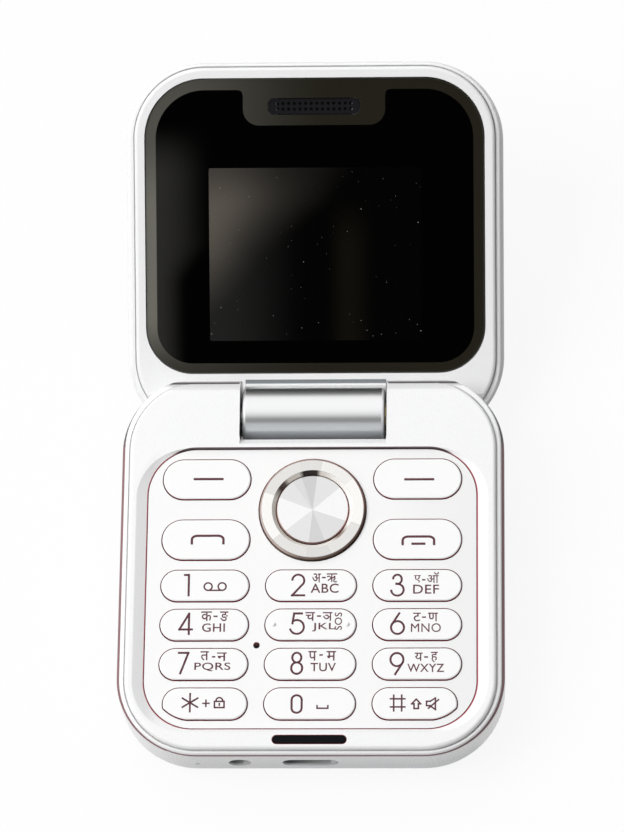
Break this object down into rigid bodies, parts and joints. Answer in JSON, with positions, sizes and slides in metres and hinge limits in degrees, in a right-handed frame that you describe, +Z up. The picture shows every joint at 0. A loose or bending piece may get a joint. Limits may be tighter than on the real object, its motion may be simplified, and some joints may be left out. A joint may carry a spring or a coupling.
{
  "type": "feature phone",
  "caption": "Square folding keypad phone shown open: key pad with a four-way ring in the base, a small display in the lid, and a barrel hinge between them.",
  "frame": {"origin": "on the table under the middle of the open phone's bounding box", "axes": "+Z up, +Y from the keypad towards the lid, +X to the right of a person who faces the keys"},
  "size_m": [0.0634, 0.1172, 0.0366],
  "materials": {
    "casing_white": "pearl white paint, satin gloss",
    "trim_white": "pearl white paint on a moulded hoop",
    "keypad_white": "glossy white moulding",
    "key_white": "glossy white caps with plum-grey legends",
    "ring_champagne": "plated champagne silver, turned",
    "select_spun": "spun metal with radial sheen",
    "barrel_silver": "satin silver",
    "lens_black": "gloss glass printed black behind",
    "display_dark": "dark display glass",
    "mesh_dark": "punched, blackened",
    "board_green": "solder mask",
    "steel": "bright",
    "brass_bush": "turned",
    "battery_wrap": "wrapped in pale film",
    "black_plastic": "moulded",
    "bumper_black": "smooth rubber",
    "silicone_clear": "translucent silicone",
    "flex_amber": "polyimide film",
    "camera_glass": "dark coated glass",
    "flash_diffuser": "frosted"
  },
  "bodies": {
    "base": {"base_front_bezel": "casing_white", "keypad_plate": "keypad_white", "base_mid_frame": "trim_white", "base_rear_housing": "casing_white", "keypad_mat": "silicone_clear", "dome_sheet": "steel", "main_board": "board_green", "microphone": "steel", "usb_socket": "steel", "audio_jack": "black_plastic", "loudspeaker": "black_plastic", "vibration_motor": "steel", "battery": "battery_wrap", "battery_contacts": "black_plastic", "sim_socket_1": "steel", "sim_socket_2": "steel", "memory_card_socket": "steel", "lid_bumper": "bumper_black", "base_screws": "steel", "hinge_cam_head": "steel", "hinge_bushing": "brass_bush"},
    "lid": {"lid_inner_bezel": "casing_white", "lid_mid_frame": "trim_white", "lid_rear_shell": "casing_white", "screen_lens": "lens_black", "display_module": "display_dark", "earpiece_mesh": "mesh_dark", "earpiece": "black_plastic", "lid_board": "board_green", "flat_cable": "flex_amber", "lid_screws": "steel", "hinge_barrel": "barrel_silver", "hinge_cartridge": "steel", "hinge_follower": "steel", "hinge_spring": "steel", "camera_bar": "ring_champagne", "camera_module": "black_plastic", "camera_lens": "camera_glass", "camera_flash": "flash_diffuser"},
    "battery_cover": {"battery_cover": "casing_white"},
    "nav_ring_pad": {"nav_ring_pad": "silicone_clear"},
    "nav_ring": {"nav_ring": "ring_champagne"},
    "select_button": {"select_button": "select_spun"},
    "key_1": {"key_1": "key_white"},
    "key_2": {"key_2": "key_white"},
    "key_3": {"key_3": "key_white"},
    "key_4": {"key_4": "key_white"},
    "key_5": {"key_5": "key_white"},
    "key_6": {"key_6": "key_white"},
    "key_7": {"key_7": "key_white"},
    "key_8": {"key_8": "key_white"},
    "key_9": {"key_9": "key_white"},
    "key_star": {"key_star": "key_white"},
    "key_0": {"key_0": "key_white"},
    "key_hash": {"key_hash": "key_white"},
    "soft_key_left": {"soft_key_left": "key_white"},
    "soft_key_right": {"soft_key_right": "key_white"},
    "call_key": {"call_key": "key_white"},
    "end_key": {"end_key": "key_white"}
  },
  "joints": [
    {"name": "lid_hinge", "type": "hinge", "parent": "base", "child": "lid", "pos_m": [0, 0.00089, 0.01254], "axis": [1, 0, 0], "range_deg": [0, 156.5]},
    {"name": "battery_cover_lift", "type": "slide", "parent": "base", "child": "battery_cover", "axis": [0, 0.1116, -0.9938], "range_m": [0, 0.006]},
    {"name": "nav_ring_up_down", "type": "hinge", "parent": "base", "child": "nav_ring_pad", "pos_m": [0.0001, -0.01726, 0.01427], "axis": [1, 0, 0], "range_deg": [-1, 1], "stiffness_Nm_per_rad": 0.05},
    {"name": "nav_ring_left_right", "type": "hinge", "parent": "nav_ring_pad", "child": "nav_ring", "pos_m": [0.0001, -0.01726, 0.01427], "axis": [0, 0.9938, 0.1116], "range_deg": [-1, 1], "stiffness_Nm_per_rad": 0.05},
    {"name": "select_button_press", "type": "slide", "parent": "base", "child": "select_button", "axis": [0, 0.1116, -0.9938], "range_m": [0, 0.0003], "stiffness_N_per_m": 600, "springref_m": -0.0005},
    {"name": "key_1_press", "type": "slide", "parent": "base", "child": "key_1", "axis": [0, 0.1116, -0.9938], "range_m": [0, 0.00035], "stiffness_N_per_m": 600, "springref_m": -0.0005},
    {"name": "key_2_press", "type": "slide", "parent": "base", "child": "key_2", "axis": [0, 0.1116, -0.9938], "range_m": [0, 0.00035], "stiffness_N_per_m": 600, "springref_m": -0.0005},
    {"name": "key_3_press", "type": "slide", "parent": "base", "child": "key_3", "axis": [0, 0.1116, -0.9938], "range_m": [0, 0.00035], "stiffness_N_per_m": 600, "springref_m": -0.0005},
    {"name": "key_4_press", "type": "slide", "parent": "base", "child": "key_4", "axis": [0, 0.1116, -0.9938], "range_m": [0, 0.00035], "stiffness_N_per_m": 600, "springref_m": -0.0005},
    {"name": "key_5_press", "type": "slide", "parent": "base", "child": "key_5", "axis": [0, 0.1116, -0.9938], "range_m": [0, 0.00035], "stiffness_N_per_m": 600, "springref_m": -0.0005},
    {"name": "key_6_press", "type": "slide", "parent": "base", "child": "key_6", "axis": [0, 0.1116, -0.9938], "range_m": [0, 0.00035], "stiffness_N_per_m": 600, "springref_m": -0.0005},
    {"name": "key_7_press", "type": "slide", "parent": "base", "child": "key_7", "axis": [0, 0.1116, -0.9938], "range_m": [0, 0.00035], "stiffness_N_per_m": 600, "springref_m": -0.0005},
    {"name": "key_8_press", "type": "slide", "parent": "base", "child": "key_8", "axis": [0, 0.1116, -0.9938], "range_m": [0, 0.00035], "stiffness_N_per_m": 600, "springref_m": -0.0005},
    {"name": "key_9_press", "type": "slide", "parent": "base", "child": "key_9", "axis": [0, 0.1116, -0.9938], "range_m": [0, 0.00035], "stiffness_N_per_m": 600, "springref_m": -0.0005},
    {"name": "key_star_press", "type": "slide", "parent": "base", "child": "key_star", "axis": [0, 0.1116, -0.9938], "range_m": [0, 0.00035], "stiffness_N_per_m": 600, "springref_m": -0.0005},
    {"name": "key_0_press", "type": "slide", "parent": "base", "child": "key_0", "axis": [0, 0.1116, -0.9938], "range_m": [0, 0.00035], "stiffness_N_per_m": 600, "springref_m": -0.0005},
    {"name": "key_hash_press", "type": "slide", "parent": "base", "child": "key_hash", "axis": [0, 0.1116, -0.9938], "range_m": [0, 0.00035], "stiffness_N_per_m": 600, "springref_m": -0.0005},
    {"name": "soft_key_left_press", "type": "slide", "parent": "base", "child": "soft_key_left", "axis": [0, 0.1116, -0.9938], "range_m": [0, 0.00035], "stiffness_N_per_m": 600, "springref_m": -0.0005},
    {"name": "soft_key_right_press", "type": "slide", "parent": "base", "child": "soft_key_right", "axis": [0, 0.1116, -0.9938], "range_m": [0, 0.00035], "stiffness_N_per_m": 600, "springref_m": -0.0005},
    {"name": "call_key_press", "type": "slide", "parent": "base", "child": "call_key", "axis": [0, 0.1116, -0.9938], "range_m": [0, 0.00035], "stiffness_N_per_m": 600, "springref_m": -0.0005},
    {"name": "end_key_press", "type": "slide", "parent": "base", "child": "end_key", "axis": [0, 0.1116, -0.9938], "range_m": [0, 0.00035], "stiffness_N_per_m": 600, "springref_m": -0.0005}
  ]
}
